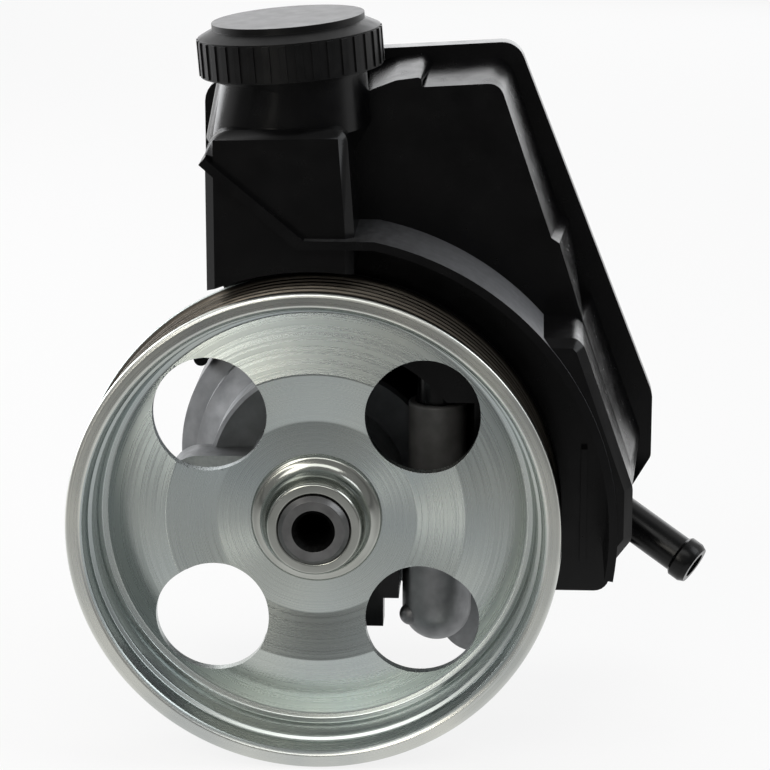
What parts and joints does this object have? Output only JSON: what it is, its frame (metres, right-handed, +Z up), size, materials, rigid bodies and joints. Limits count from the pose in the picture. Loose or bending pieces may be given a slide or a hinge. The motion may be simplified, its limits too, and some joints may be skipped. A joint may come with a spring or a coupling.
{
  "type": "power steering pump",
  "caption": "Belt-driven vane pump for power steering: grooved steel pulley, cast aluminium body and a black moulded fluid reservoir with screw cap and return nozzle.",
  "frame": {"origin": "on the shaft axis in the middle plane of the belt grooves, which is inside the shaft's puller bore", "axes": "+Y along the shaft from the pulley to the rear, +X to the right as seen from the pulley side, +Z up as mounted, with the reservoir on top"},
  "size_m": [0.1665, 0.1095, 0.1949],
  "materials": {
    "pulley_steel": "zinc plated, turned",
    "hub_steel": "turned and polished",
    "shaft_steel": "turned",
    "bearing_steel": "ground",
    "spring_steel": "oiled",
    "sintered_steel": "ground, oiled",
    "bolt_steel": "phosphated",
    "union_steel": "zinc plated",
    "brass_parts": "plain",
    "cast_aluminium": "die cast",
    "seal_rubber": "matt",
    "sleeve_rubber": "matt",
    "black_plastic": "moulded, half gloss",
    "cap_plastic": "moulded, matt",
    "filter_plastic": "moulded mesh"
  },
  "bodies": {
    "pump": {"bearing_outer_race": "bearing_steel", "bearing_snap_ring": "spring_steel", "shaft_seal": "seal_rubber", "pump_housing": "cast_aluminium", "gallery_plug": "bearing_steel", "front_plate": "sintered_steel", "cam_ring": "sintered_steel", "pressure_plate": "sintered_steel", "dowel_pins": "bearing_steel", "pressure_spring": "spring_steel", "rear_bush": "brass_parts", "rear_cover": "cast_aluminium", "cover_o_ring": "seal_rubber", "cover_bolts": "bolt_steel", "flow_valve_spring": "spring_steel", "outlet_union": "union_steel", "union_o_ring": "seal_rubber", "suction_sleeve": "sleeve_rubber", "pipe_clip": "black_plastic", "reservoir_front_shell": "black_plastic", "reservoir_rear_shell": "black_plastic", "filter_screen": "filter_plastic"},
    "rotating_group": {"pulley": "pulley_steel", "pulley_hub": "hub_steel", "drive_shaft": "shaft_steel", "bearing_inner_race": "bearing_steel", "rotor": "sintered_steel", "vanes": "bearing_steel"},
    "bearing_cage_group": {"bearing_cage": "brass_parts", "bearing_balls": "bearing_steel"},
    "valve": {"flow_valve_spool": "bearing_steel"},
    "cap_carrier": {"cap_gasket": "seal_rubber"},
    "cap": {"filler_cap": "cap_plastic"}
  },
  "joints": [
    {"name": "pulley_spin", "type": "hinge", "parent": "pump", "child": "rotating_group", "pos_m": [0, 0, 0], "axis": [0, 1, 0], "continuous": true},
    {"name": "cage_spin", "type": "hinge", "parent": "pump", "child": "bearing_cage_group", "pos_m": [0, 0, 0], "axis": [0, 1, 0], "continuous": true},
    {"name": "valve_slide", "type": "slide", "parent": "pump", "child": "valve", "axis": [0, -1, 0], "range_m": [0, 0.008], "stiffness_N_per_m": 1500, "springref_m": -0.004, "deforming": ["flow_valve_spring"]},
    {"name": "cap_lift", "type": "slide", "parent": "pump", "child": "cap_carrier", "axis": [-0.0785, 0, 0.9969], "range_m": [0, 0.008]},
    {"name": "cap_turn", "type": "hinge", "parent": "cap_carrier", "child": "cap", "pos_m": [-0.0052, 0.0155, 0.101], "axis": [-0.0785, 0, 0.9969], "range_deg": [0, 720]}
  ],
  "couplings": [
    {"joint": "cage_spin", "follows": "pulley_spin", "ratio": 0.4077},
    {"joint": "cap_lift", "follows": "cap_turn", "m_per_rad": 0.00063662}
  ]
}
